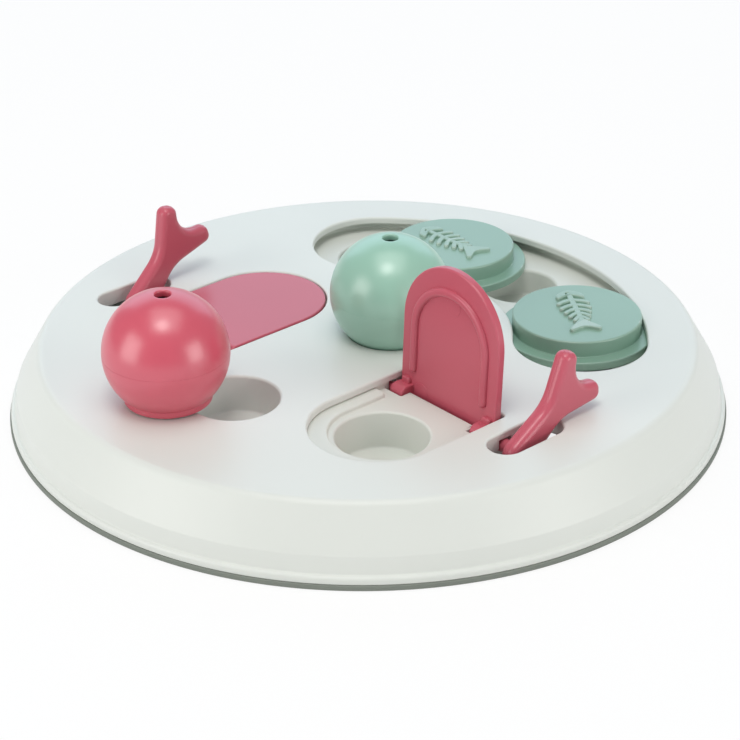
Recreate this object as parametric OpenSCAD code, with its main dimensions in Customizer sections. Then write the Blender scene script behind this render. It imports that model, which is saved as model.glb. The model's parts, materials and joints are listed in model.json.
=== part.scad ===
// Round cat puzzle board: a low deck with two flap boxes, a curved slider track,
// two ball cups and two loose balls. Origin at the centre of the underside, +Z up.

/* [Board] */
// Overall diameter across the grip ring
board_d = 230; // [224:1:240]
// Height of the deck's top face above the table
deck_h = 23; // [22:0.5:27]
// Thickness of the deck plate
deck_t = 2.2; // [1.8:0.1:2.6]
// Diameter of the flat deck, to the corner above the slope
deck_d = 209; // [207:1:212]
// Radius of the rounded edge between deck and slope
deck_edge = 3; // [1:0.5:4]
// Outward run of the slope, from the deck's corner to its foot
slope_run = 7.8; // [6:0.2:9]
// Height of the slope's foot above the table
slope_foot = 9.6; // [8:0.2:12]
// Wall of the skirt, measured level
skirt_t = 2.4; // [2:0.1:2.8]
// Height of the lip's top above the table
lip_h = 4.2; // [3.8:0.1:5]
// How far the lip stands out beyond the band above it
lip_step = 1.3; // [0.8:0.1:1.8]
// Width of the lip's underside
lip_w = 5.6; // [5:0.2:7]
// Radius of the lip's rounded top edge
lip_edge = 0.9; // [0.4:0.1:1.2]
// Number of gussets between deck and skirt
gusset_count = 12; // [6:1:18]

/* [Grip ring] */
// Height of the rubber ring under the lip
ring_h = 1.8; // [1.4:0.1:2.4]
// How far the ring stands out beyond the lip
ring_step = 0.5; // [0.2:0.1:1]
// Width of the tongue that holds the ring in the lip
tongue_w = 2; // [1.4:0.1:2.6]
// Height of that tongue
tongue_h = 1.2; // [0.8:0.1:1.5]

/* [Ball cups] */
// Diameter of a ball cup at the deck
cup_d = 27.6; // [27.4:0.1:28.4]
// Depth of a ball cup below the deck
cup_depth = 12; // [9:0.5:15]
// Taper of a cup's wall, on the radius
cup_draft = 0.9; // [0.4:0.1:1.6]
// Rounding of a cup's upper edge
cup_edge = 0.9; // [0.4:0.1:1.4]
// Place of the free cup, left to right
free_cup_x = -40.2; // [-44:0.2:-38]
// Place of the free cup, front to back
free_cup_y = -43.5; // [-46:0.2:-41]
// Place of the green ball's cup, left to right
green_cup_x = 7.5; // [5:0.5:10]
// Place of the green ball's cup, front to back
green_cup_y = 0.4; // [-2:0.2:3]

/* [Balls] */
// Diameter of a ball
ball_d = 38.6; // [38:0.2:39.6]
// Wall of a ball
ball_t = 2; // [1.6:0.1:2.6]
// Diameter of the collar below a ball
collar_d = 26.8; // [26:0.1:27]
// Height of a ball's centre above its collar's foot
collar_drop = 15.8; // [15.4:0.1:17]
// Diameter of the scent hole at a ball's top
scent_d = 4.8; // [3:0.2:6]
// Width of the flare round the scent hole
scent_flare = 0.5; // [0.2:0.1:1]
// Height of the lap joint between the two half shells
lap_h = 2; // [1:0.2:3]
// Width and depth of the seam line round the middle
seam = 0.25; // [0.1:0.05:0.4]
// Place of the pink ball, left to right
pink_ball_x = -60.2; // [-62:0.2:-58]
// Place of the pink ball, front to back
pink_ball_y = -44; // [-46:0.2:-42]

/* [Slider track] */
// Middle of the track's arc, to the right of the board's middle
track_x = 0.8; // [0:0.1:2]
// Radius of the track's centre line about that middle
track_r = 67; // [66:0.2:68]
// Angle of the track's front end
track_from = -6.4; // [-9:0.2:-4]
// Angle of the track's rear end
track_to = 88.2; // [86:0.2:90]
// Depth of the track's floor below the deck
track_depth = 5.7; // [5.2:0.1:7]
// Diameter of the track's floor cups
track_cup_d = 25.2; // [22:0.2:27]
// Depth of those cups below the track's floor
track_cup_depth = 9; // [6:0.5:10]

/* [Sliders] */
// Diameter of a slider's disc
slider_d = 41.6; // [40:0.2:43]
// How far a slider's top stands above the deck
slider_rise = 2.6; // [1.5:0.1:4]
// Rounding of a slider's top edge
slider_edge = 1.2; // [0.5:0.1:2]
// How far the flange stands out beyond the disc
flange_step = 4.1; // [3:0.1:4.6]
// Thickness of the flange
flange_t = 2.8; // [2:0.1:2.9]
// Wall of the hollow slider
slider_t = 2; // [1.6:0.1:2.4]
// Angle of the rear slider at rest
rear_angle = 64.5; // [63:0.5:65.5]
// Angle of the front slider at rest
front_angle = 5.2; // [4:0.2:6]
// Direction of the rear slider's fish, head to tail
rear_fish_turn = -48; // [-180:1:180]
// Direction of the front slider's fish, head to tail
front_fish_turn = -82; // [-180:1:180]
// Height of the fish relief
fish_h = 1; // [0.6:0.1:1.4]
// Half length of the fish relief
fish_half = 13.4; // [12:0.2:15]
// Number of ribs on the fish
fish_ribs = 6; // [4:1:7]

/* [Flap boxes] */
// Left hinge, left to right
left_hinge_x = -53.3; // [-55:0.2:-52]
// Left hinge, front to back
left_hinge_y = 7.3; // [6:0.2:9]
// Right hinge, left to right
right_hinge_x = 22; // [20:0.2:24]
// Right hinge, front to back
right_hinge_y = -44.7; // [-46:0.2:-43]
// Direction of the left flap, hinge to tip
flap_turn = 41.1; // [39:0.1:43]
// Depth of the hinge axis below the deck
axis_depth = 5; // [4.9:0.1:5.4]
// From the hinge axis to the middle of the round end
flap_reach = 25.1; // [24:0.1:27]
// Width of the flap's opening in the deck
flap_opening_w = 42.4; // [41:0.2:44]
// From the hinge axis back to the opening's edge
flap_opening_back = 6.6; // [6.4:0.1:7.4]
// Width of the ledge that the flap rests on
ledge_w = 4.3; // [3:0.1:4.6]
// Depth of the platform inside the ledge, below the deck
platform_depth = 4.2; // [4:0.1:4.4]
// Diameter of the treat cup under a flap
treat_cup_d = 28.6; // [26:0.2:30]
// Depth of the treat cup below the platform
treat_cup_depth = 12; // [8:0.5:12.5]
// Wall of the trays
tray_t = 1.8; // [1.4:0.1:2.2]

/* [Flaps] */
// Thickness of a flap
flap_t = 2.6; // [2.2:0.1:2.7]
// How far a flap reaches behind its hinge axis
flap_back = 4.6; // [4:0.1:4.8]
// Radius of the flap's rear upper edge
flap_back_edge = 2.4; // [2:0.1:2.6]
// Opening angle of a flap
flap_open = 93; // [85:1:95]
// From the flap's edge to the rib below it
rib_inset = 4.4; // [4:0.1:6]
// How far the rib's arch, and the ledge's, is set back from the round end's middle
arch_back = 2.2; // [1.6:0.1:2.6]
// Width of that rib
rib_w = 1.9; // [1.2:0.1:2.4]
// Height of that rib
rib_h = 1.2; // [0.8:0.1:1.3]
// From the hinge axis to the ends of the rib
rib_start = 9; // [8:0.5:14]
// Diameter of the hinge barrels
barrel_d = 5.2; // [5:0.1:5.4]
// Length of a hinge barrel
barrel_l = 5.4; // [4:0.2:6]

/* [Levers] */
// Diameter of the axle beside the lever
axle_d = 4.4; // [4:0.1:4.6]
// Diameter of the thinner axle inside the flap's barrel, and of the flap's own pin
pin_d = 3; // [2.6:0.1:3.4]
// Depth of the flat on that thinner part, which turns the flap
axle_flat = 0.5; // [0.3:0.1:0.6]
// Diameter of the axle's shoulder against the lever
shoulder_d = 5.2; // [4.8:0.1:5.3]
// Thickness of that shoulder
shoulder_t = 0.8; // [0.5:0.1:1]
// From the flap's middle line to the lever's middle
lever_side = 33.4; // [33:0.1:34]
// Thickness of a lever
lever_t = 5.6; // [5:0.1:6.2]
// Rounding of a lever's edges
lever_edge = 2.2; // [1.6:0.1:2.4]
// Angle of a lever above its closed flap
lever_angle = 50; // [46:1:54]
// Sideways shift of the lever's middle line from the axle
lever_shift = 0.4; // [0:0.1:0.6]
// From the axle to the waist of the lever
lever_waist = 15; // [13:0.5:17]
// Width of the lever's waist
lever_waist_w = 8.2; // [7.6:0.1:9.2]
// Width of the lever at its hub
lever_hub_w = 10.8; // [10.6:0.1:11.6]
// From the axle to the middle of a tail lobe's tip
lobe_reach = 29.6; // [28:0.2:31]
// From the lever's middle line to the middle of a lobe's tip
lobe_side = 9.4; // [8:0.1:10.5]
// Width of a lobe's tip
lobe_w = 6; // [5.6:0.1:6.6]
// From the axle to the bottom of the notch between the lobes
notch_reach = 28.6; // [27.6:0.1:29.4]
// Depth of the wall round the slot, below the deck plate
slot_skirt = 3.2; // [2.6:0.2:4]

/* [Screws] */
// Diameter of a screw's shank
screw_d = 2.2; // [2:0.1:2.4]
// Diameter of a screw's head
screw_head_d = 5; // [4.6:0.1:5.4]
// Height of a screw's head
screw_head_h = 1.7; // [1.4:0.1:2]
// Diameter of the bosses that take the screws
boss_d = 6; // [5.6:0.1:6.6]
// How far the screws beside a flap box sit back from the middle of its round end
box_screw_back = 6; // [4:0.5:8]

/* [Clearances] */
// Gap between sliding faces
slide_gap = 0.2; // [0.15:0.05:0.3]
// Side gap between a slider and its track
track_gap = 0.5; // [0.4:0.1:0.8]
// Side gap between a flap and its opening
flap_gap = 0.5; // [0.4:0.1:0.8]
// Gap between a lever and the sides of its slot
slot_side_gap = 2.8; // [2.4:0.1:3.2]
// Gap between a lever and the ends of its slot
slot_end_gap = 1; // [0.8:0.1:1.4]
// Gap under a resting ball
ball_gap = 0.4; // [0.3:0.1:0.6]
// Gap between a flap or its rib and what lies below it
lid_gap = 0.2; // [0.15:0.05:0.3]
// Radial clearance of the axle in its bearings
bearing_gap = 0.05; // [0.03:0.01:0.1]
// Radial clearance of fixed fits
fit_gap = 0.04; // [0.02:0.01:0.08]

/* [Hidden] */
$fn = 64;
// Overrun of cutters past the faces that they cut
past = 1;
// Overlap of joined shapes inside one piece
join = 0.4;
// Extra radius of the track's round ends, so that they cross its arcs and don't only touch them
end_over = 0.05;

deck_bottom = deck_h - deck_t;
deck_r = deck_d / 2;
ring_r = board_d / 2;
lip_r = ring_r - ring_step;
lip_inner = lip_r - lip_w;
tongue_r = lip_r - lip_w / 2;
band_r = lip_r - lip_step;
slope_r = deck_r + slope_run;

cup_r = cup_d / 2;
cup_floor = deck_h - cup_depth;

ball_r = ball_d / 2;
collar_r = collar_d / 2;
lap_r = ball_r - ball_t / 2;
// Height of a ball's centre when its sphere sits on the cup's rounded edge
edge_ring_r = cup_r + cup_edge;
ball_seat = sqrt(pow(ball_r + cup_edge, 2) - pow(edge_ring_r, 2)) - cup_edge;
green_ball_z = deck_h + ball_seat + ball_gap;
pink_ball_z = deck_h + collar_drop + ball_gap;

track_floor = deck_h - track_depth;
slider_r = slider_d / 2;
flange_r = slider_r + flange_step;
track_half = slider_r + track_gap;
channel_half = flange_r + track_gap;
tray_half = channel_half + tray_t;
slider_base = track_floor + slide_gap;
track_middle = (track_from + track_to) / 2;

axis_z = deck_h - axis_depth;
flap_half = flap_opening_w / 2;
lid_half = flap_half - flap_gap;
lid_under = axis_depth - flap_t;
box_wall = flap_half + fit_gap;
box_half = box_wall + tray_t + 0.6;
box_back = flap_opening_back + tray_t + 0.6;
box_top = axis_depth - deck_t;
ledge_top = lid_under - lid_gap;
arch_reach = flap_reach - arch_back;
platform_top = axis_depth - platform_depth;
platform_edge = -0.6;
pocket_floor = -(flap_back + 0.9);
box_bottom = pocket_floor - tray_t;
axle_r = axle_d / 2;
pin_r = pin_d / 2;
barrel_r = barrel_d / 2;
barrel_out = lid_half - 0.3;
pin_end = -box_half;
barrel_in = barrel_out - barrel_l;
// Slot of a lever: its half width, and its ends where the lever crosses the deck
slot_half = lever_t / 2 + slot_side_gap;
lever_half = (lever_hub_w + lever_waist_w) / 4;
open_lean = 180 - lever_angle - flap_open;
slot_front = axis_depth / tan(lever_angle) + (lever_half - lever_shift) / sin(lever_angle) + slot_end_gap;
slot_rear = axis_depth / tan(open_lean) + (lever_half + lever_shift) / sin(open_lean) + slot_end_gap;
// Rounding of the lever's waist and of the notch between its lobes
waist_r = 12;
notch_r = 5;
// How far the notch's rounding fills its corner
notch_fill = 0.9;
// Share of the hub's end that its two corners round
hub_fill = 0.97;
// Chords on each rounded corner of the lever, an odd count
lever_chords = 5;

ear_r = boss_d / 2 + 0.6;
ear_t = 2;
ear_reach = ear_r - 0.4;
pilot_r = screw_d / 2 + fit_gap;
screw_pass_r = screw_d / 2 + 0.3;
// Screws of the track tray, as angles on its inner and outer side
track_screw_angles = [5, 35, 65];
track_screw_radii = [track_r - tray_half - ear_reach, track_r + tray_half + ear_reach];
// Screws of a flap box, in its own frame
box_screws = [
    [-box_back - ear_reach, -12],
    [-box_back - ear_reach, 12],
    [flap_reach - box_screw_back, -box_half - ear_reach],
    [flap_reach - box_screw_back, box_half + ear_reach]
];
box_ear_top = axis_z + box_bottom + ear_t;

left_hinge = [left_hinge_x, left_hinge_y, flap_turn];
right_hinge = [right_hinge_x, right_hinge_y, flap_turn + 180];

white = "#e1e5e6";
tray_white = "#d6d8d0";
rubber_grey = "#7d837a";
pink = "#d7646f";
green = "#9bbeaf";
steel = "#b5b9bd";

function unit(v) = v / norm(v);

// Arc that rounds the corner c between its neighbours a and b, as pairs of a point and the normal
// that points out of an outline drawn anticlockwise
function rounded_corner(a, c, b, r, n = 6) =
    let (
        u = unit(a - c),
        v = unit(b - c),
        half = acos(u * v) / 2,
        m = c + unit(u + v) * r / sin(half),
        from = c + u * r / tan(half) - m,
        to = c + v * r / tan(half) - m,
        start = atan2(from[1], from[0]),
        turn = atan2(to[1], to[0]) - start,
        sweep = turn > 180 ? turn - 360 : turn < -180 ? turn + 360 : turn,
        out = sweep > 0 ? 1 : -1
    )
    [
        for (i = [0 : n])
            let (ray = [cos(start + sweep * i / n), sin(start + sweep * i / n)])
            [m + r * ray, out * ray]
    ];

// The points alone of such an arc
function corner_arc(a, c, b, r, n = 6) = [for (q = rounded_corner(a, c, b, r, n)) q[0]];

// Cutter that rounds the upper edge of a round hole of radius r at height z
module hole_edge(r, z, e) {
    rotate_extrude()
        difference() {
            translate([r - past, z - e])
                square([past + e, e + past]);
            translate([r + e, z - e])
                circle(e);
        }
}

// Plan of the track, for a half width about its centre line
module track_plan(half) {
    span = track_to - track_from;
    far = 2 * board_d;
    intersection() {
        difference() {
            circle(track_r + half);
            circle(track_r - half);
        }
        polygon(concat(
            [[0, 0]],
            [for (i = [0 : 4]) far * [cos(track_from + span * i / 4), sin(track_from + span * i / 4)]]
        ));
    }
    for (a = [track_from, track_to])
        rotate(a)
            translate([track_r, 0])
                circle(half + end_over);
}

// Puts its children about the middle of the track's arc
module at_track() {
    translate([track_x, 0, 0])
        children();
}

// Puts its children at the floor cups: one at each end of the track and one half way
module at_track_cups() {
    for (a = [track_from, track_middle, track_to])
        rotate(a)
            translate([track_r, 0, track_floor])
                children();
}

// Plan of a flap or its box: square at the hinge, round at the tip
module flap_plan(half, back, reach = flap_reach) {
    translate([-back, -half])
        square([back + reach, 2 * half]);
    translate([reach, 0])
        circle(half);
}

// Puts its children into the frame of a flap box: +X to the tip, origin on the hinge axis
module at_hinge(h) {
    translate([h[0], h[1], axis_z])
        rotate([0, 0, h[2]])
            children();
}

// Turns a closed flap or lever up by an opening angle
module opened(angle) {
    rotate([0, -angle, 0])
        children();
}

// Cylinder along the hinge axis, between two sideways positions
module along_axis(r, from, to) {
    translate([0, from, 0])
        rotate([-90, 0, 0])
            cylinder(r = r, h = to - from);
}

// Plan of the lever's slot, grown by g
module slot_plan(g) {
    ends = [slot_half - slot_rear, slot_front - slot_half];
    translate([ends[0], lever_side - slot_half - g])
        square([ends[1] - ends[0], 2 * (slot_half + g)]);
    for (x = ends)
        translate([x, lever_side])
            circle(slot_half + g);
}

// Shell of the board: flat deck, rounded edge, slope, band and lip
module board_skin() {
    deck_corner = [deck_r, deck_h];
    foot = [slope_r, slope_foot];
    lip_corner = [lip_r, lip_h];
    rotate_extrude($fn = 128)
        polygon(concat(
            [[0, deck_bottom], [0, deck_h]],
            corner_arc([0, deck_h], deck_corner, foot, deck_edge),
            [foot, [band_r, lip_h]],
            corner_arc([band_r, lip_h], lip_corner, [lip_r, ring_h], lip_edge),
            [
                [lip_r, ring_h],
                [lip_inner, ring_h],
                [lip_inner, lip_h],
                [band_r - skirt_t, lip_h],
                [slope_r - skirt_t, slope_foot],
                [deck_r - skirt_t, deck_bottom]
            ]
        ));
}

// Wall of one ball cup below the deck
module cup_wall(x, y) {
    translate([x, y, cup_floor - tray_t])
        cylinder(r = cup_r + tray_t, h = deck_bottom + join - cup_floor + tray_t);
}

// Inside of one ball cup
module cup_inside(x, y) {
    translate([x, y, cup_floor])
        cylinder(r1 = cup_r - cup_draft, r2 = cup_r, h = cup_depth);
    translate([x, y, 0]) {
        translate([0, 0, deck_h - past / 10])
            cylinder(r = cup_r, h = past);
        hole_edge(cup_r, deck_h, cup_edge);
    }
}

// Boss for a screw, from the deck plate down to height z
module boss(z) {
    translate([0, 0, z])
        cylinder(d = boss_d, h = deck_bottom - z + join);
}

// Pilot hole up into such a boss
module boss_pilot(z) {
    translate([0, 0, z - past])
        cylinder(r = pilot_r, h = deck_bottom - z + past);
}

// Puts its children at the screws of the track tray
module at_track_screws() {
    at_track()
        for (a = track_screw_angles, r = track_screw_radii)
            rotate(a)
                translate([r, 0, 0])
                    children();
}

// Puts its children at the screws of a flap box
module at_box_screws(h) {
    translate([h[0], h[1], 0])
        rotate(h[2])
            for (p = box_screws)
                translate([p[0], p[1], 0])
                    children();
}

// Wall hanging round a lever's slot
module slot_wall(h) {
    at_hinge(h)
        translate([0, 0, box_top - slot_skirt])
            linear_extrude(slot_skirt + join)
                slot_plan(tray_t);
}

// Opening of a lever's slot, with the notch that lets the axle through its wall
module slot_opening(h) {
    notch_gap = 0.4;
    at_hinge(h) {
        translate([0, 0, box_top - slot_skirt - past])
            linear_extrude(slot_skirt + deck_t + 2 * past)
                slot_plan(0);
        along_axis(axle_r + notch_gap, box_half, lever_side);
        translate([-axle_r - notch_gap, box_half, box_top - slot_skirt - past])
            cube([2 * (axle_r + notch_gap), lever_side - box_half, slot_skirt - box_top + past]);
    }
}

// Opening of a flap in the deck
module flap_opening(h) {
    at_hinge(h)
        translate([0, 0, box_top - past])
            linear_extrude(deck_t + 2 * past)
                flap_plan(flap_half, flap_opening_back);
}

// Gussets that stiffen the corner between deck and skirt
module gussets() {
    gusset_t = 1.6;
    gusset_drop = 9;
    gusset_run = 4.5;
    inner_run = slope_run * (gusset_drop / (deck_bottom - slope_foot));
    top_r = deck_r - skirt_t;
    for (i = [0 : gusset_count - 1])
        rotate([90, 0, 20 + i * 360 / gusset_count])
            translate([0, 0, -gusset_t / 2])
                linear_extrude(gusset_t)
                    polygon([
                        [top_r - gusset_run, deck_bottom + join],
                        [top_r + join, deck_bottom + join],
                        [top_r + inner_run + join, deck_bottom - gusset_drop]
                    ]);
}

module deck_shell() {
    color(white)
        difference() {
            union() {
                board_skin();
                cup_wall(free_cup_x, free_cup_y);
                cup_wall(green_cup_x, green_cup_y);
                slot_wall(left_hinge);
                slot_wall(right_hinge);
                at_track_screws()
                    boss(track_floor);
                at_box_screws(left_hinge)
                    boss(box_ear_top);
                at_box_screws(right_hinge)
                    boss(box_ear_top);
                gussets();
            }
            cup_inside(free_cup_x, free_cup_y);
            cup_inside(green_cup_x, green_cup_y);
            translate([track_x, 0, deck_bottom - past])
                linear_extrude(deck_t + 2 * past)
                    track_plan(track_half);
            at_track_screws()
                boss_pilot(track_floor);
            for (h = [left_hinge, right_hinge]) {
                flap_opening(h);
                slot_opening(h);
                at_box_screws(h)
                    boss_pilot(box_ear_top);
            }
            rotate_extrude($fn = 128)
                translate([tongue_r - tongue_w / 2 - fit_gap, ring_h - past])
                    square([tongue_w + 2 * fit_gap, tongue_h + fit_gap + past]);
        }
}

module grip_ring() {
    color(rubber_grey)
        rotate_extrude($fn = 128) {
            translate([lip_inner, 0])
                square([ring_r - lip_inner, ring_h]);
            translate([tongue_r - tongue_w / 2, ring_h - join])
                square([tongue_w, tongue_h + join]);
        }
}

// Screw with its head's seat at height z, pointing up, with a cross recess
module screw(z, length) {
    slot_cut = 0.7;
    translate([0, 0, z])
        difference() {
            union() {
                translate([0, 0, -screw_head_h])
                    cylinder(d = screw_head_d, h = screw_head_h);
                translate([0, 0, -join])
                    cylinder(d = screw_d, h = length + join);
            }
            for (a = [0, 90])
                rotate(a)
                    translate([-1.4, -slot_cut / 2, -screw_head_h - past])
                        cube([2.8, slot_cut, past + screw_head_h * 0.6]);
        }
}

// Ear of a tray under a boss, reaching back to the tray's wall
module ear(back) {
    difference() {
        union() {
            cylinder(r = ear_r, h = ear_t);
            translate([0, -ear_r, 0])
                cube([back, 2 * ear_r, ear_t]);
        }
        translate([0, 0, -past])
            cylinder(r = screw_pass_r, h = ear_t + 2 * past);
    }
}

module track_tray() {
    color(tray_white)
        at_track()
            difference() {
                union() {
                    translate([0, 0, track_floor - tray_t])
                        linear_extrude(deck_bottom - track_floor + tray_t)
                            track_plan(tray_half);
                    at_track_cups()
                        translate([0, 0, -track_cup_depth - tray_t])
                            cylinder(d = track_cup_d + 2 * tray_t, h = track_cup_depth + tray_t);
                    for (a = track_screw_angles, side = [0, 1])
                        rotate(a)
                            translate([track_screw_radii[side], 0, track_floor - ear_t])
                                rotate(side * 180)
                                    ear(ear_reach + tray_t / 2);
                }
                translate([0, 0, track_floor])
                    linear_extrude(deck_bottom - track_floor + past)
                        track_plan(channel_half);
                at_track_cups()
                    translate([0, 0, -track_cup_depth])
                        cylinder(
                            d1 = track_cup_d - 2 * cup_draft,
                            d2 = track_cup_d,
                            h = track_cup_depth
                        );
            }
}

module track_tray_screws() {
    color(steel)
        at_track_screws()
            screw(track_floor - ear_t, ear_t + deck_bottom - track_floor - 0.5);
}

// Box under a flap: walls, ledge, platform with its treat cup, hinge pocket and bearings
module flap_box(h) {
    cup_wall_r = treat_cup_d / 2 + tray_t;
    cup_bottom = platform_top - treat_cup_depth;
    barrel_room = 0.6;
    notch_in = barrel_in - barrel_room;
    color(tray_white)
        at_hinge(h)
            difference() {
                union() {
                    translate([0, 0, box_bottom])
                        linear_extrude(box_top - box_bottom)
                            difference() {
                                flap_plan(box_half, box_back);
                                flap_plan(box_wall, flap_opening_back + fit_gap);
                            }
                    box_ledge();
                    box_platform();
                    translate([flap_reach, 0, cup_bottom - tray_t])
                        cylinder(r = cup_wall_r, h = treat_cup_depth + tray_t);
                    for (p = box_screws)
                        translate([p[0], p[1], box_bottom])
                            rotate(p[0] < -box_back ? 0 : p[1] < 0 ? 90 : -90)
                                ear(ear_reach + tray_t / 2);
                }
                translate([flap_reach, 0, cup_bottom])
                    cylinder(
                        r1 = treat_cup_d / 2 - cup_draft,
                        r2 = treat_cup_d / 2,
                        h = treat_cup_depth
                    );
                translate([flap_reach, 0, platform_top - past / 10])
                    cylinder(d = treat_cup_d, h = past);
                for (side = [-1, 1])
                    translate([platform_edge - past, side > 0 ? notch_in : -box_wall, -barrel_r - barrel_room])
                        cube([
                            past - platform_edge + barrel_r + barrel_room,
                            box_wall - notch_in,
                            barrel_d + 2 * barrel_room
                        ]);
                bearing_cut(pin_r + bearing_gap, -box_half - past, -barrel_out);
                bearing_cut(axle_r + bearing_gap, barrel_out, box_half + past);
            }
}

// Bearing for the axle, open at the top so that the axle drops in before the deck closes it
module bearing_cut(r, from, to) {
    along_axis(r, from, to);
    translate([-r, from, 0])
        cube([2 * r, to - from, box_top + past]);
}

// Ledge inside the box that carries the edge of a closed flap
module box_ledge() {
    ledge_start = 7;
    translate([0, 0, platform_top - tray_t])
        linear_extrude(ledge_top - platform_top + tray_t)
            difference() {
                intersection() {
                    flap_plan(box_wall + join, 0);
                    translate([ledge_start, -box_half])
                        square([2 * box_half + flap_reach, 2 * box_half]);
                }
                flap_plan(flap_half - ledge_w, past, arch_reach);
            }
}

// Platform inside the ledge, its front wall and the floor of the hinge pocket
module box_platform() {
    translate([0, 0, platform_top - tray_t])
        linear_extrude(tray_t)
            difference() {
                flap_plan(box_wall + join, -platform_edge);
                translate([flap_reach, 0])
                    circle(d = treat_cup_d);
            }
    translate([platform_edge, -box_wall - join, box_bottom])
        cube([tray_t, 2 * (box_wall + join), platform_top - box_bottom - tray_t / 2]);
    translate([-flap_opening_back - join, -box_wall - join, box_bottom])
        cube([flap_opening_back + join + platform_edge + tray_t, 2 * (box_wall + join), tray_t]);
}

module flap_box_screws(h) {
    color(steel)
        at_box_screws(h)
            screw(box_ear_top - ear_t, ear_t + deck_bottom - box_ear_top - 0.5);
}

// Flap with its U-shaped rib, hinge barrels, far pin and lugs, drawn closed and turned by an angle
module flap(h, angle) {
    lug_front = barrel_r + 2;
    color(pink)
        at_hinge(h)
            opened(angle)
                difference() {
                    union() {
                        translate([0, 0, lid_under])
                            linear_extrude(flap_t)
                                flap_plan(lid_half, flap_back);
                        flap_rib();
                        along_axis(pin_r, pin_end, join - barrel_out);
                        for (side = [-1, 1]) {
                            inner = side > 0 ? barrel_in : -barrel_out;
                            along_axis(barrel_r, inner, inner + barrel_l);
                            translate([-barrel_r, inner, 0])
                                cube([barrel_d, barrel_l, lid_under + join]);
                            translate([0, inner + 1, lid_under - rib_h])
                                cube([lug_front, barrel_l - 2, rib_h + join]);
                        }
                    }
                    flap_back_cut();
                    difference() {
                        along_axis(pin_r + fit_gap, barrel_in - past, lid_half + past);
                        translate([-pin_r - past, barrel_in - 2 * past, -pin_r - past])
                            cube([2 * (pin_r + past), barrel_l + 4 * past, past + axle_flat - fit_gap]);
                    }
                }
}

// Rib under a flap, inset from its edge, with rounded ends near the hinge
module flap_rib() {
    outer = lid_half - rib_inset;
    translate([0, 0, lid_under - rib_h])
        linear_extrude(rib_h + join) {
            difference() {
                flap_plan(outer, -rib_start, arch_reach);
                flap_plan(outer - rib_w, -rib_start + past, arch_reach);
            }
            for (side = [-1, 1])
                translate([rib_start, side * (outer - rib_w / 2)])
                    circle(d = rib_w);
        }
}

// Rounds the rear upper edge of a flap, which dips as the flap opens
module flap_back_cut() {
    difference() {
        translate([-flap_back - past, -lid_half - past, axis_depth - flap_back_edge])
            cube([flap_back_edge + past, 2 * lid_half + 2 * past, flap_back_edge + past]);
        translate([-flap_back + flap_back_edge, 0, axis_depth - flap_back_edge])
            along_axis(flap_back_edge, -lid_half - 2 * past, lid_half + 2 * past);
    }
}

// Outline of the fish-tail lever with its normals: round hub, waist, two lobes and the notch between
function lever_outline() =
    let (
        hub = lever_hub_w / 2,
        waist = [lever_waist, lever_waist_w / 2],
        hub_lean = atan2(hub - waist[1], hub + waist[0]),
        hub_r = hub_fill * hub * tan(45 - hub_lean / 2),
        lobe = [lobe_reach, lobe_side],
        along = unit(lobe - [lever_waist, 0]),
        across = [-along[1], along[0]],
        half = lobe_w / 2,
        outer = lobe + half * (along + across),
        inner = lobe + half * (along - across),
        notch = [notch_reach - notch_fill, 0],
        corners = [
            [-hub, -hub], [waist[0], -waist[1]], [outer[0], -outer[1]], [inner[0], -inner[1]],
            notch, inner, outer, waist, [-hub, hub]
        ],
        tip_r = half * 0.94,
        radii = [hub_r, waist_r, tip_r, tip_r, notch_r, tip_r, tip_r, waist_r, hub_r],
        count = len(corners)
    )
    [
        for (i = [0 : count - 1])
            each rounded_corner(
                corners[(i + count - 1) % count], corners[i], corners[(i + 1) % count], radii[i],
                lever_chords
            )
    ];

// Flat face of the lever as convex polygons of its outline's points, for m points on each corner:
// a strip across the body, then a fan and a strip in each lobe
function lever_face(m, count) =
    let (
        bend = 2 * m - 1,
        inner = 4 * m - 1,
        dip = 4 * m + m / 2 - 1,
        lobe = concat(
            [for (j = [inner : dip - 1]) [bend, j, j + 1]],
            [[bend, bend + 1, inner]],
            [for (j = [0 : m - 2]) [bend + 1 + j, bend + 2 + j, inner - 1 - j, inner - j]]
        )
    )
    concat(
        [for (i = [0 : bend - 1]) [i, i + 1, count - 2 - i, count - 1 - i]],
        [[bend, dip, dip + 1, count - 1 - bend]],
        lobe,
        [for (p = lobe) [for (k = [len(p) - 1 : -1 : 0]) count - 1 - p[k]]]
    );

// Solid lever with rounded edges: rings of its outline, drawn in towards both faces
module lever_body() {
    outline = lever_outline();
    count = len(outline);
    steps = 4;
    core_half = lever_t / 2 - lever_edge;
    angles = concat(
        [for (k = [0 : steps]) -90 + 90 * k / steps],
        [for (k = [0 : steps]) 90 * k / steps]
    );
    rings = len(angles);
    points = [
        for (k = [0 : rings - 1], i = [0 : count - 1])
            let (
                p = outline[i][0] - outline[i][1] * lever_edge * (1 - cos(angles[k])),
                z = (k > steps ? core_half : -core_half) + lever_edge * sin(angles[k])
            )
            [p[0], p[1], z]
    ];
    sides = [
        for (k = [0 : rings - 2], i = [0 : count - 1])
            let (
                a = k * count + i,
                b = k * count + (i + 1) % count
            )
            each [[a, a + count, b + count], [a, b + count, b]]
    ];
    face = lever_face(lever_chords + 1, count);
    bottom = face;
    top = [for (p = face) [for (k = [len(p) - 1 : -1 : 0]) (rings - 1) * count + p[k]]];
    polyhedron(points = points, faces = concat(sides, bottom, top));
}

// Fish-tail lever, drawn for a closed flap and turned by an angle
module tail_lever(h, angle) {
    color(pink)
        at_hinge(h)
            opened(angle)
                translate([0, lever_side, 0])
                    rotate([90, -lever_angle, 0])
                        translate([0, lever_shift, 0])
                            lever_body();
}

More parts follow.
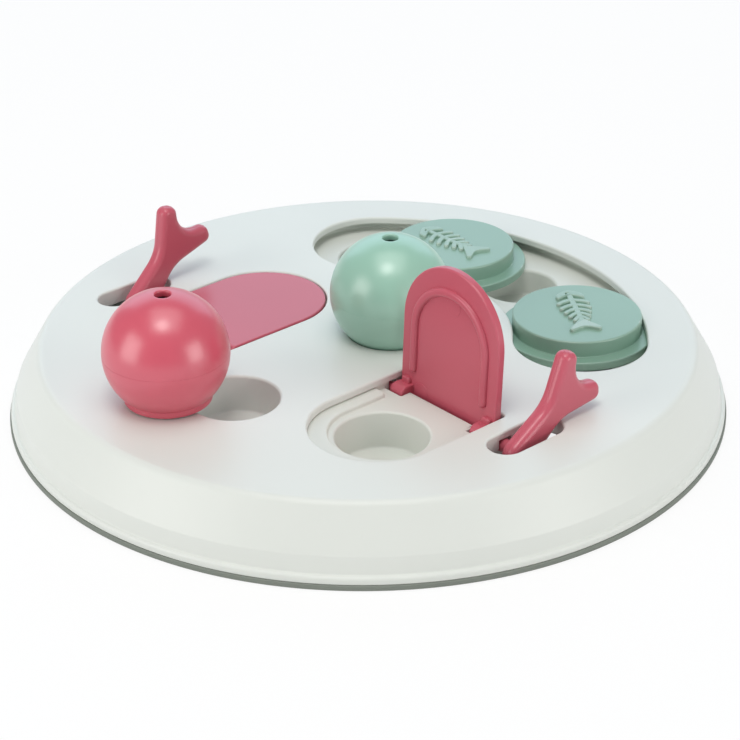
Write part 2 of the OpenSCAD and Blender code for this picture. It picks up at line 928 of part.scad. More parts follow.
// Axle of a flap: shoulder against the lever, round journal and a flat that turns the flap
module hinge_axle(h, angle) {
    lever_face = lever_side - lever_t / 2;
    color(pink)
        at_hinge(h)
            opened(angle)
                difference() {
                    union() {
                        along_axis(pin_r, barrel_in, barrel_out + join);
                        along_axis(axle_r, barrel_out + fit_gap, lever_face);
                        along_axis(shoulder_d / 2, lever_face - shoulder_t, lever_face);
                    }
                    translate([-pin_r - past, barrel_in - past, -pin_r - past])
                        cube([2 * (pin_r + past), barrel_l + past, past + axle_flat]);
                }
}

// Fish relief: head with an eye, spine, curved ribs and a forked tail
module fish_plan() {
    head_r = 4.8;
    head_x = -fish_half + head_r;
    tail_x = fish_half * 0.62;
    tail_half = 4.7;
    tail_cut_r = 9;
    rib_first = 4.9;
    rib_last = 2.3;
    bone = 1.1;
    sag = 1.7;
    step = (tail_x - head_x - 2.2) / fish_ribs;
    difference() {
        translate([head_x, 0])
            circle(head_r);
        translate([head_x + head_r + 1, 0])
            circle(head_r);
        translate([head_x - 1.4, 1.7])
            circle(0.75);
    }
    translate([head_x, -bone / 2])
        square([tail_x - head_x + 2, bone]);
    for (i = [0 : fish_ribs - 1]) {
        reach = rib_first + (rib_last - rib_first) * i / (fish_ribs - 1);
        arc_r = (reach * reach + sag * sag) / (2 * sag);
        x = head_x + 2 + step * i;
        intersection() {
            translate([x + arc_r, 0])
                difference() {
                    circle(arc_r);
                    circle(arc_r - bone);
                }
            translate([x - past, -reach - past])
                square([sag + past, 2 * (reach + past)]);
        }
    }
    difference() {
        polygon([
            [tail_x, 0],
            [fish_half - 1, tail_half],
            [fish_half + 1, tail_half],
            [fish_half + 1, -tail_half],
            [fish_half - 1, -tail_half]
        ]);
        translate([fish_half - 0.4 + tail_cut_r, 0])
            circle(tail_cut_r);
    }
}

// Slider: disc above the deck, flange below it, hollow from underneath
module slider(angle, fish_turn) {
    top = deck_h + slider_rise;
    flange_top = slider_base + flange_t;
    hollow_r = slider_r - slider_t;
    color(green)
        at_track()
            rotate(angle)
                translate([track_r, 0, 0])
                    rotate(-angle) {
                        rotate_extrude()
                            polygon(concat(
                                [[0, top - slider_t], [0, top]],
                                corner_arc([0, top], [slider_r, top], [slider_r, flange_top], slider_edge),
                                [
                                    [slider_r, flange_top],
                                    [flange_r, flange_top],
                                    [flange_r, slider_base],
                                    [hollow_r, slider_base],
                                    [hollow_r, top - slider_t]
                                ]
                            ));
                        translate([0, 0, top - join])
                            rotate(fish_turn)
                                linear_extrude(fish_h + join)
                                    fish_plan();
                    }
}

// Half section of a ball's wall
module ball_section() {
    intersection() {
        difference() {
            circle(ball_r);
            circle(ball_r - ball_t);
        }
        translate([0, -ball_d])
            square([ball_d, 2 * ball_d]);
    }
}

// Upper half of a ball, with the scent hole and the lap that enters the lower half
module ball_dome() {
    rotate_extrude()
        difference() {
            union() {
                intersection() {
                    ball_section();
                    square(ball_d);
                }
                translate([ball_r - ball_t, -lap_h])
                    square([ball_t / 2 - fit_gap, lap_h + join]);
            }
            square([scent_d / 2, ball_d]);
            translate([0, ball_r - scent_flare])
                polygon([
                    [0, -scent_flare],
                    [scent_d / 2 - scent_flare, -scent_flare],
                    [scent_d / 2 + scent_flare, scent_flare],
                    [0, scent_flare]
                ]);
            translate([ball_r - seam, 0])
                square([past, seam / 2]);
        }
}

// Lower half of a ball, with the rebate for the lap and the open collar
module ball_bowl() {
    rotate_extrude()
        difference() {
            union() {
                intersection() {
                    ball_section();
                    translate([0, -ball_d])
                        square(ball_d);
                }
                translate([collar_r - ball_t, -collar_drop])
                    square([ball_t, collar_drop - sqrt(pow(ball_r - ball_t / 2, 2) - pow(collar_r, 2))]);
            }
            translate([0, -ball_d])
                square([collar_r - ball_t, ball_d]);
            translate([0, -lap_h - fit_gap])
                square([lap_r, lap_h + fit_gap + past]);
            translate([ball_r - seam, -seam / 2])
                square([past, seam]);
        }
}

// Puts a ball part at its resting place
module at_pink_ball() {
    color(pink)
        translate([pink_ball_x, pink_ball_y, pink_ball_z])
            children();
}

module at_green_ball() {
    color(green)
        translate([green_cup_x, green_cup_y, green_ball_z])
            children();
}

deck_shell();
grip_ring();
track_tray();
track_tray_screws();
flap_box(left_hinge);  // flap_box_left
flap_box_screws(left_hinge);  // flap_box_left_screws
flap_box(right_hinge);  // flap_box_right
flap_box_screws(right_hinge);  // flap_box_right_screws
flap(left_hinge, 0);  // flap_left
hinge_axle(left_hinge, 0);  // hinge_axle_left
tail_lever(left_hinge, 0);  // tail_lever_left
flap(right_hinge, flap_open);  // flap_right
hinge_axle(right_hinge, flap_open);  // hinge_axle_right
tail_lever(right_hinge, flap_open);  // tail_lever_right
slider(rear_angle, rear_fish_turn);  // slider_rear
slider(front_angle, front_fish_turn);  // slider_front
at_pink_ball() ball_dome();  // pink_ball_dome
at_pink_ball() ball_bowl();  // pink_ball_bowl
at_green_ball() ball_dome();  // green_ball_dome
at_green_ball() ball_bowl();  // green_ball_bowl
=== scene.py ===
"""Cat puzzle board: moulded pieces with rounded edges and plastic finishes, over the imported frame."""
import json
import math

import bmesh
import bpy
from mathutils import Matrix, Vector


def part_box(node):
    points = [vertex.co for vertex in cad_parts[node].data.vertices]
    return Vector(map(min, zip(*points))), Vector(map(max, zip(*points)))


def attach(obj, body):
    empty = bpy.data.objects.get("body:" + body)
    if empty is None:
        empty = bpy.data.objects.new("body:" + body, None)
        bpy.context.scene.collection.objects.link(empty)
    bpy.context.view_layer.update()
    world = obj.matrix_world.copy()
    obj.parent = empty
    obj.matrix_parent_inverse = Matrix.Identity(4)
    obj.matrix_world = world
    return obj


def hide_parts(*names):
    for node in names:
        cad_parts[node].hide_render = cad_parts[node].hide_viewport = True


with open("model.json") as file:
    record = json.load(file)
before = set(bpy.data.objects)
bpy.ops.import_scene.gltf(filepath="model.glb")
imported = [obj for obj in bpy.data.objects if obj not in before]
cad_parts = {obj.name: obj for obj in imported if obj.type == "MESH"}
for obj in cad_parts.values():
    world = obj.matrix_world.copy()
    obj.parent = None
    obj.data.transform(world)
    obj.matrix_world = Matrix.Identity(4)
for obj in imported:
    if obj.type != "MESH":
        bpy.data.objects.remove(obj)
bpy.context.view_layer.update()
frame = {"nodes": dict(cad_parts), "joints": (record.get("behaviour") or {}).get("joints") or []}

# Lengths below are in millimetres and angles in degrees, as in the part's source.
MM = 0.001

# Board
DECK_T = 2.2
DECK_R = 104.5
DECK_EDGE = 3.0
SLOPE_R = 112.3
SLOPE_FOOT = 9.6
SLOPE_FOOT_EDGE = 2.0
SKIRT_T = 2.4
BAND_R = 113.2
LIP_H = 4.2
LIP_R = 114.5
LIP_W = 5.6
LIP_EDGE = 0.9
LIP_FILLET = 0.6
RING_H = 1.8
RING_R = 115.0
RING_EDGE = 0.5
TONGUE_W = 2.0
TONGUE_H = 1.2
OPENING_EDGE = 0.7
GUSSETS = 12
GUSSET_FIRST = 20
GUSSET_T = 1.6
GUSSET_DROP = 9.0
GUSSET_RUN = 4.5

# Cups and balls
CUP_R = 13.8
CUP_DEPTH = 12.0
CUP_DRAFT = 0.9
CUP_EDGE = 0.9
CUP_FILLET = 0.9
FREE_CUP = (-40.2, -43.5)
BALL_R = 19.3
BALL_T = 2.0
COLLAR_R = 13.4
COLLAR_DROP = 15.8
COLLAR_EDGE = 0.5
SCENT_R = 2.4
SCENT_EDGE = 0.6
SEAM = 0.05

# Slider track
TRACK_X = 0.8
TRACK_R = 67.0
TRACK_FROM = -6.4
TRACK_TO = 88.2
TRACK_HALF = 21.3
TRACK_FLOOR = 17.3
CHANNEL_HALF = 25.4
CHANNEL_FILLET = 0.8
TRACK_CUP_R = 12.6
TRACK_CUP_DEPTH = 9.0
TRACK_CUP_EDGE = 1.2
SLIDER_R = 20.8
SLIDER_EDGE = 0.6
SLIDER_T = 2.0
FLANGE_R = 24.9
FLANGE_T = 2.8
FLANGE_EDGE = 0.5
FISH_H = 1.0
FISH_NOSE = -15.2
FISH_GILL = (-9.6, 4.2)
FISH_EYE = (-12.4, -0.5)
FISH_EYE_R = 0.7
RIB_SWEEP = 2.0
RIB_TIPS = ((-5.9, 4.7), (-2.4, 4.5), (0.7, 3.8), (3.6, 3.0), (6.2, 2.0))
BONE_HALF = 0.98
SPINE_END = 7.6
FLUKE_ROOT = (6.2, 1.1)
FLUKE_MIDDLE = (8.6, 2.7)
FLUKE_TIP = (13.2, 5.3)
FLUKE_END = 10.9
REAR_FISH_TURN = -48
FRONT_FISH_TURN = -82

# Flaps and levers, in the frame of a hinge: X to the flap's tip, Y to the lever, Z up from the axis
AXIS_DEPTH = 5.0
TRAY_T = 1.8
FLAP_HALF = 21.2
FLAP_REACH = 25.1
FLAP_OPENING_BACK = 6.6
FLAP_OPENING_CORNER = 1.0
LID_HALF = 20.7
LID_T = 2.6
LID_BACK = 4.6
LID_BACK_EDGE = 2.4
LID_EDGE = 0.55
LID_CORNER = 0.8
FLAP_OPEN = 93
ARCH_REACH = 22.9
RIB_OUTER = 16.6
RIB_W = 2.7
RIB_H = 1.2
RIB_START = 8.2
RIB_EDGE = 1.0
BOX_GAP = 0.6
BOX_WALL = 1.8
BOX_TOP = 2.8
BOX_BOTTOM = -7.3
POCKET_FLOOR = -5.5
LEDGE_INNER = 16.9
LEDGE_START = 7.0
LEDGE_TOP = 2.2
LEDGE_EDGE = 0.55
LEDGE_END = 1.4
LEDGE_FILLET = 0.4
PLATFORM_TOP = 0.8
PLATFORM_EDGE = -0.6
BARREL_ROOM = 0.6
TREAT_CUP_X = 23.7
TREAT_CUP_R = 14.3
TREAT_CUP_DEPTH = 12.0
TREAT_CUP_EDGE = 0.8
BARREL_R = 2.6
BARREL_L = 5.4
BARREL_OUT = 20.4
PIN_R = 1.5
PIN_END = 23.6
LUG_FRONT = 4.6
EJECTOR_R = 3.0
EJECTOR_MARKS = ((34.4, 0.8), (1.2, -11.6))
LEVER_SIDE = 33.4
LEVER_T = 5.6
LEVER_EDGE = 2.2
LEVER_ANGLE = 50
LEVER_SHIFT = 0.4
LEVER_WAIST = (16.0, 3.9)
LEVER_HUB = (5.4, 5.9)
HUB_FILL = 0.9
LOBE = (29.3, 8.8)
LOBE_HALF = 2.8
NOTCH_REACH = 25.4
WAIST_R = 12.4
NOTCH_R = 7.8
PARTING = 0.07
SLOT_HALF = 5.6
SLOT_REAR = -16.2
SLOT_FRONT = 10.9
SLOT_SKIRT = 3.2
NOTCH_HALF = 2.6
PIN_NOTCH = 1.6
AXLE_NOTCH = 2.3

# Screw bosses under the deck, and the trays' ears below them
EAR_R = 3.6
EAR_T = 2.0
EAR_BACK = 4.1
SCREW_PASS_R = 1.4
BOSS_R = 3.0
PILOT_R = 1.14
TRACK_BOSS_ANGLES = (5, 35, 65)
TRACK_BOSS_RADII = (36.6, 97.4)
TRACK_BOSS_Z = 17.3
BOX_BOSSES = ((-12.2, -12.0), (-12.2, 12.0), (19.1, -26.84), (19.1, 26.84))
BOX_BOSS_Z = 12.7

# Camera, solved from the photograph's rim ellipses
CAMERA_AT = (0.705, -626.75, 342.84)
CAMERA_TILT = 61.94
CAMERA_ROLL = -0.58
CAMERA_LENS = 107.03
CAMERA_SENSOR = 36.0

ROUND = 192
BODY = {
    node: body
    for body, nodes in (
        ("board", ("deck_shell", "grip_ring", "track_tray", "flap_box_left", "flap_box_right")),
        ("left_flap", ("flap_left", "tail_lever_left")),
        ("right_flap", ("flap_right", "tail_lever_right")),
        ("rear_slider", ("slider_rear",)),
        ("front_slider", ("slider_front",)),
        ("pink_ball", ("pink_ball_dome", "pink_ball_bowl")),
        ("green_ball", ("green_ball_dome", "green_ball_bowl")),
    )
    for node in nodes
}


def corner_pairs(a, c, b, radius, steps):
    """Rounds the corner c between a and b: (point, outward normal) pairs of an anticlockwise outline."""
    u = (a - c).normalized()
    v = (b - c).normalized()
    half = u.angle(v) / 2
    middle = (u + v).normalized()
    if radius == 0:
        convex = (c - a).cross(b - c) > 0
        return [(c, middle * ((-1 if convex else 1) / math.sin(half)))]
    centre = c + middle * (radius / math.sin(half))
    first = c + u * (radius / math.tan(half)) - centre
    last = c + v * (radius / math.tan(half)) - centre
    start = math.atan2(first.y, first.x)
    sweep = (math.atan2(last.y, last.x) - start + math.pi) % (2 * math.pi) - math.pi
    out = 1 if sweep > 0 else -1
    pairs = []
    for i in range(steps + 1):
        angle = start + sweep * i / steps
        ray = Vector((math.cos(angle), math.sin(angle)))
        pairs.append((centre + radius * ray, out * ray))
    return pairs


def without_doubles(pairs):
    """Drops each pair whose point repeats the one before it."""
    return [pair for i, pair in enumerate(pairs) if (pair[0] - pairs[i - 1][0]).length > 1e-5]


def rounded(corners, radii, steps=10):
    """Closed outline through rounded corners."""
    points = [Vector(c) for c in corners]
    pairs = []
    for i, point in enumerate(points):
        following = points[(i + 1) % len(points)]
        pairs += corner_pairs(points[i - 1], point, following, radii[i], steps)
    return without_doubles(pairs)


def profile(corners, radii, steps=6):
    """Open section through rounded corners, as (offset, height) points; the two ends stay sharp."""
    points = [Vector(c) for c in corners]
    section = [points[0]]
    for i in range(1, len(points) - 1):
        section += [p for p, n in corner_pairs(points[i - 1], points[i], points[i + 1], radii[i - 1], steps)]
    section.append(points[-1])
    return [p for i, p in enumerate(section) if i == 0 or (p - section[i - 1]).length > 1e-5]


def arc_pairs(centre, radius, start, end, steps, out=1):
    """Arc about a centre, with normals that point away from it, or towards it where out is -1."""
    pairs = []
    for i in range(steps + 1):
        angle = math.radians(start + (end - start) * i / steps)
        ray = Vector((math.cos(angle), math.sin(angle)))
        pairs.append((Vector(centre) + radius * ray, out * ray))
    return pairs


def circle(count=ROUND):
    """Outline of radius 0: its offsets are radii, so a loft of it is a turned shape."""
    return arc_pairs((0, 0), 0, 0, 360 * (count - 1) / count, count - 1)


def arch(half, back, reach, corner=0.0, steps=32):
    """Plan of a flap: square at the hinge, round at the tip."""
    corners = ((-back, -half), (reach + half, -half), (reach + half, half), (-back, half))
    radii = (corner, half, half, corner)
    pairs = []
    points = [Vector(c) for c in corners]
    for i, point in enumerate(points):
        count = steps if i in (1, 2) else 6
        pairs += corner_pairs(points[i - 1], point, points[(i + 1) % 4], radii[i], count)
    return without_doubles(pairs)


def arch_band(outer, width, start, reach, steps=32):
    """Plan of a U-shaped rib with round ends."""
    inner = outer - width
    ends = ((start, outer - width / 2), (start, -outer + width / 2))
    pairs = arc_pairs((reach, 0), outer, -90, 90, 2 * steps)
    pairs += arc_pairs(ends[0], width / 2, 90, 270, 8)
    pairs += arc_pairs((reach, 0), inner, 90, -90, 2 * steps, -1)
    pairs += arc_pairs(ends[1], width / 2, 90, 270, 8)
    return without_doubles(pairs)


def band(path, widths, end_steps=6):
    """Plan of a bone that follows a path, with its own half width at each point and round ends."""
    left, right = [], []
    for i, point in enumerate(path):
        ahead = path[min(i + 1, len(path) - 1)] - path[max(i - 1, 0)]
        side = Vector((-ahead.y, ahead.x)).normalized()
        left.append((point + side * widths[i], side))
        right.append((point - side * widths[i], -side))
    pairs = list(right)
    for sides, point, width in ((right, path[-1], widths[-1]), (left, path[0], widths[0])):
        facing = sides[-1][1] if sides is right else sides[0][1]
        start = math.degrees(math.atan2(facing.y, facing.x))
        pairs += arc_pairs(point, width, start, start + 180, end_steps)
        if sides is right:
            pairs += list(reversed(left))
    return without_doubles(pairs)


def on_track(radius, angle):
    """Point at a radius and an angle about the middle of the track's arc."""
    ray = math.radians(angle)
    return (TRACK_X + radius * math.cos(ray), radius * math.sin(ray))


def track_outline(half, steps=96, end_steps=40):
    """Plan of the slider track: two arcs about its middle, joined by round ends."""
    middle = (TRACK_X, 0)
    pairs = arc_pairs(middle, TRACK_R + half, TRACK_FROM, TRACK_TO, steps)
    pairs += arc_pairs(on_track(TRACK_R, TRACK_TO), half, TRACK_TO, TRACK_TO + 180, end_steps)
    pairs += arc_pairs(middle, TRACK_R - half, TRACK_TO, TRACK_FROM, steps, -1)
    pairs += arc_pairs(on_track(TRACK_R, TRACK_FROM), half, TRACK_FROM + 180, TRACK_FROM + 360, end_steps)
    return without_doubles(pairs)


def with_notch(pairs, side, half):
    """Adds points to an outline's straight edge on one side (-1 or 1), for a notch about the hinge's axis."""
    straight = [i for i, (p, n) in enumerate(pairs) if n.y * side > 0.9999]
    first = min(straight, key=lambda i: -side * pairs[i][0].x)
    edge = 0.02
    extra = [
        (Vector((-side * x, pairs[first][0].y)), Vector((0, side)))
        for x in (-half - edge, -half, half, half + edge)
    ]
    return pairs[:first + 1] + extra + pairs[first + 1:]


def slot_outline():
    """Plan of a lever's slot, with extra points at the notch for the axle."""
    low, high = LEVER_SIDE - SLOT_HALF, LEVER_SIDE + SLOT_HALF
    corners = ((SLOT_REAR, low), (SLOT_FRONT, low), (SLOT_FRONT, high), (SLOT_REAR, high))
    return with_notch(rounded(corners, [SLOT_HALF] * 4, 16), -1, NOTCH_HALF)


def ledge_outline(outer, steps=40):
    """Plan of the U-shaped ledge in a flap's box, open at the hinge."""
    inner = LEDGE_INNER
    pairs = arc_pairs((FLAP_REACH, 0), outer, -90, 90, 2 * steps)
    for side, turns in ((1, (outer, inner)), (-1, (inner, outer))):
        for k, y in enumerate(turns):
            along = Vector((ARCH_REACH, side * y))
            corner = Vector((LEDGE_START, side * y))
            across = Vector((LEDGE_START, side * turns[1 - k]))
            ends = (along, across) if k == 0 else (across, along)
            pairs += corner_pairs(ends[0], corner, ends[1], LEDGE_END, 6)
        if side > 0:
            pairs += arc_pairs((ARCH_REACH, 0), inner, 90, -90, 2 * steps, -1)
    return without_doubles(pairs)


class Solid:
    """Collects the closed shells of one piece in millimetres."""

    def __init__(self):
        self.bm = bmesh.new()

    def loft(self, outline, section, place=Matrix(), low=False, high=False, lift=None):
        """Rings of an outline at each (offset, height) of a section, with a cap at either end if asked."""
        rings = []
        for offset, height in section:
            ring = []
            for point, normal in outline:
                at = Vector((point.x + normal.x * offset, point.y + normal.y * offset, height))
                ring.append(self.bm.verts.new(place @ (lift(at) if lift else at)))
            rings.append(ring)
        for a, b in zip(rings, rings[1:]):
            self.bridge(a, b)
        if low:
            self.bm.faces.new(list(reversed(rings[0])))
        if high:
            self.bm.faces.new(rings[-1])
        return rings

    def bridge(self, a, b):
        for i in range(len(a)):
            j = (i + 1) % len(a)
            self.bm.faces.new((a[i], a[j], b[j], b[i]))

    def turn(self, section, place=Matrix(), count=ROUND, closed=False):
        """Turned shape. A closed section joins its last ring to its first."""
        rings = self.loft(circle(count), section, place)
        if closed:
            self.bridge(rings[-1], rings[0])
        return rings

    def fill(self, rings):
        """Flat face between rings, the first outside and the others holes in it."""
        edges = []
        for ring in rings:
            for i, vert in enumerate(ring):
                following = ring[(i + 1) % len(ring)]
                edges.append(self.bm.edges.get((vert, following)) or self.bm.edges.new((vert, following)))
        bmesh.ops.triangle_fill(self.bm, use_beauty=True, use_dissolve=False, edges=edges)

    def piece(self, name, material, nodes, sharp=38):
        """Turns the shells into an object that stands for the CAD nodes and rides on their body."""
        bm = self.bm
        bmesh.ops.remove_doubles(bm, verts=bm.verts[:], dist=1e-4)
        bmesh.ops.dissolve_degenerate(bm, edges=bm.edges[:], dist=1e-5)
        bmesh.ops.recalc_face_normals(bm, faces=bm.faces[:])
        bm.transform(Matrix.Scale(MM, 4))
        mesh = bpy.data.meshes.new(name)
        bm.to_mesh(mesh)
        bm.free()
        mesh.shade_smooth()
        mesh.set_sharp_from_angle(angle=math.radians(sharp))
        mesh.materials.append(material)
        obj = bpy.data.objects.new(name, mesh)
        bpy.context.collection.objects.link(obj)
        obj.modifiers.new("even shading", "WEIGHTED_NORMAL").keep_sharp = True
        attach(obj, BODY[nodes[0]])
        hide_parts(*nodes)
        return obj


def joint(name):
    return next(j for j in frame["joints"] if j["name"] == name)


def hinge_place(name):
    """Frame of a hinge: X to the flap's tip, Y along the axis to the lever."""
    hinge = joint(name)
    side = -Vector(hinge["axis"]).normalized()
    place = Matrix.Translation(Vector(hinge["pos_m"]) / MM)
    turn = Matrix(((side.y, side.x, 0), (-side.x, side.y, 0), (0, 0, 1))).to_4x4()
    return place @ turn


def opened(angle):
    return Matrix.Rotation(math.radians(-angle), 4, "Y")


def middle_of(node):
    low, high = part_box(node)
    return (low + high) / (2 * MM)


def at(x, y, z=0.0):
    return Matrix.Translation((x, y, z))


DECK_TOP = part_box("deck_shell")[1].z / MM
DECK_BOTTOM = DECK_TOP - DECK_T
LEFT = hinge_place("left_flap_hinge")
RIGHT = hinge_place("right_flap_hinge")


# Materials


def node_of(tree, kind, **values):
    made = tree.nodes.new(kind)
    for key, value in values.items():
        setattr(made, key, value)
    return made


def noise(tree, coords, scale, detail=3.0, roughness=0.5):
    made = node_of(tree, "ShaderNodeTexNoise")
    made.inputs["Scale"].default_value = scale
    made.inputs["Detail"].default_value = detail
    made.inputs["Roughness"].default_value = roughness
    tree.links.new(coords, made.inputs["Vector"])
    return made.outputs["Fac"]


def ranged(tree, source, low, high, out_low, out_high):
    made = node_of(tree, "ShaderNodeMapRange", clamp=True)
    for key, value in (("From Min", low), ("From Max", high), ("To Min", out_low), ("To Max", out_high)):
        made.inputs[key].default_value = value
    tree.links.new(source, made.inputs["Value"])
    return made.outputs["Result"]


def mixed(tree, factor, a, b):
    """Colour mix; a and b are colours or sockets."""
    made = node_of(tree, "ShaderNodeMix", data_type="RGBA")
    tree.links.new(factor, made.inputs[0])
    for socket, value in ((made.inputs[6], a), (made.inputs[7], b)):
        if isinstance(value, tuple):
            socket.default_value = value
        else:
            tree.links.new(value, socket)
    return made.outputs[2]


def linear(red, green, blue, factor=1.0):
    """Linear colour of an sRGB colour written in 0 to 255."""
    def channel(value):
        part = value / 255
        return part / 12.92 if part <= 0.04045 else ((part + 0.055) / 1.055) ** 2.4
    return (channel(red) * factor, channel(green) * factor, channel(blue) * factor, 1.0)


# Scale of the plastics' slow colour drift and the strength of their grain
DRIFT_SCALE = 28.0
GRAIN_STRENGTH = 0.25
# Pointiness at which the painted edge highlight starts, and at which it is strongest
HIGHLIGHT_FROM = 0.505
HIGHLIGHT_FULL = 0.56


def moulded(name, colour, roughness, grain=900.0, grain_depth=0.012, painted_edge_highlight=0.0, shift=0.05, ior=1.46):
    """Moulded plastic: slow colour drift, fine grain and, where asked, a painted highlight that pales the
    edges.
    """
    material = bpy.data.materials.new(name)
    material.use_nodes = True
    tree = material.node_tree
    shader = tree.nodes["Principled BSDF"]
    coords = node_of(tree, "ShaderNodeTexCoord").outputs["Object"]
    dark = linear(*colour, 1 - shift)
    pale = linear(*colour, 1 + shift)
    drift = ranged(tree, noise(tree, coords, DRIFT_SCALE, 1.0), 0.1, 0.9, 0.0, 1.0)
    shade = mixed(tree, drift, dark, pale)
    point = node_of(tree, "ShaderNodeNewGeometry").outputs["Pointiness"]
    # Painted highlight: convex edges, found by pointiness, are mixed towards white.
    edge = ranged(tree, point, HIGHLIGHT_FROM, HIGHLIGHT_FULL, 0.0, painted_edge_highlight)
    shade = mixed(tree, edge, shade, (1.0, 1.0, 1.0, 1.0))
    tree.links.new(shade, shader.inputs["Base Color"])
    shader.inputs["Roughness"].default_value = roughness
    bump = node_of(tree, "ShaderNodeBump")
    bump.inputs["Strength"].default_value = GRAIN_STRENGTH
    bump.inputs["Distance"].default_value = grain_depth * MM
    tree.links.new(noise(tree, coords, grain, 2.0), bump.inputs["Height"])
    tree.links.new(bump.outputs["Normal"], shader.inputs["Normal"])
    shader.inputs["IOR"].default_value = ior
    return material


def brushed_steel(name):
    """Zinc-plated steel with fine turning marks."""
    material = moulded(name, (176, 180, 184), 0.34, grain=2400.0, grain_depth=0.01)
    shader = material.node_tree.nodes["Principled BSDF"]
    shader.inputs["Metallic"].default_value = 1.0
    return material


white = moulded("off_white_plastic", (221, 224, 219), 0.40, grain=1100.0, shift=0.012)
tray_white = moulded("tray_plastic", (219, 222, 215), 0.42, grain=1100.0, shift=0.015)
pink = moulded("pink_plastic", (197, 92, 108), 0.28, shift=0.04, ior=1.5)
ball_pink = moulded("ball_pink_plastic", (207, 85, 103), 0.29, shift=0.04, ior=1.75)
# The sliders' paler edges are a painted highlight.
green = moulded("green_plastic", (133, 169, 151), 0.29, painted_edge_highlight=0.2, shift=0.04, ior=1.6)
ball_green = moulded("ball_green_plastic", (154, 198, 179), 0.29, shift=0.04, ior=1.75)
rubber = moulded("grey_rubber", (122, 128, 120), 0.62, grain=1700.0, grain_depth=0.05, shift=0.04)
steel = brushed_steel("screw_steel")


# Pieces


def through_hole(solid, outline, place=Matrix()):
    """Opening in the deck plate with a rounded upper edge; returns its top and bottom rings."""
    section = profile(((OPENING_EDGE + 0.6, DECK_TOP), (0, DECK_TOP), (0, DECK_BOTTOM)), (OPENING_EDGE,))
    rings = solid.loft(outline, section, place)
    return rings[0], rings[-1]


def hanging_cup(solid, place, radius, depth, edge, top, bottom):
    """Cup that hangs from a plate between two heights; returns its rings in the plate's two faces."""
    floor = top - depth
    inside = profile(
        ((radius + edge + 0.4, top), (radius, top), (radius - CUP_DRAFT, floor), (0, floor)),
        (edge, CUP_FILLET))
    wall = radius + TRAY_T
    outside = profile(((wall, bottom), (wall, floor - TRAY_T), (0, floor - TRAY_T)), (CUP_FILLET,))
    upper = solid.turn(inside, place, 128)
    lower = solid.turn(outside, place, 128)
    return upper[0], lower[0]


def ball_cup(solid, x, y):
    return hanging_cup(solid, at(x, y), CUP_R, CUP_DEPTH, CUP_EDGE, DECK_TOP, DECK_BOTTOM)


def lever_slot(solid, place):
    """Slot with a hanging wall, notched on the hinge's side; returns its rings in the plate's two faces."""
    top, bottom = AXIS_DEPTH, AXIS_DEPTH - DECK_T
    foot = bottom - SLOT_SKIRT
    section = profile(
        ((OPENING_EDGE + 0.6, top), (0, top), (0, foot), (TRAY_T, foot), (TRAY_T, bottom)),
        (OPENING_EDGE, 0.3, 0.3), 4)

    def notch(point):
        near_hinge = point.y < LEVER_SIDE - SLOT_HALF + 0.5 and abs(point.x) <= NOTCH_HALF + 0.001
        return Vector((point.x, point.y, max(point.z, bottom - 0.1))) if near_hinge else point

    rings = solid.loft(slot_outline(), section, place, lift=notch)
    return rings[0], rings[-1]


def boss(solid, place, foot):
    """Hollow screw boss from the deck plate down."""
    inside_top = DECK_BOTTOM - 0.1
    solid.turn(
        profile(
            ((0, inside_top), (PILOT_R, inside_top), (PILOT_R, foot), (BOSS_R, foot),
             (BOSS_R, DECK_BOTTOM + 0.4), (0, DECK_BOTTOM + 0.4)),
            (0.0, 0.3, 0.3, 0.0), 3),
        place, 40)


def gusset(solid, angle):
    """Thin web between the deck plate and the skirt."""
    inner = DECK_R - SKIRT_T
    run = (SLOPE_R - DECK_R) * GUSSET_DROP / (DECK_BOTTOM - SLOPE_FOOT)
    sink = 0.4
    corners = (
        (inner - GUSSET_RUN, DECK_BOTTOM + sink),
        (inner + run + sink, DECK_BOTTOM - GUSSET_DROP),
        (inner + sink, DECK_BOTTOM + sink),
    )
    place = Matrix.Rotation(math.radians(angle), 4, "Z") @ Matrix.Rotation(math.radians(90), 4, "X")
    half = GUSSET_T / 2
    solid.loft(rounded(corners, (0, 0, 0)), ((0, -half), (0, half)), place, low=True, high=True)


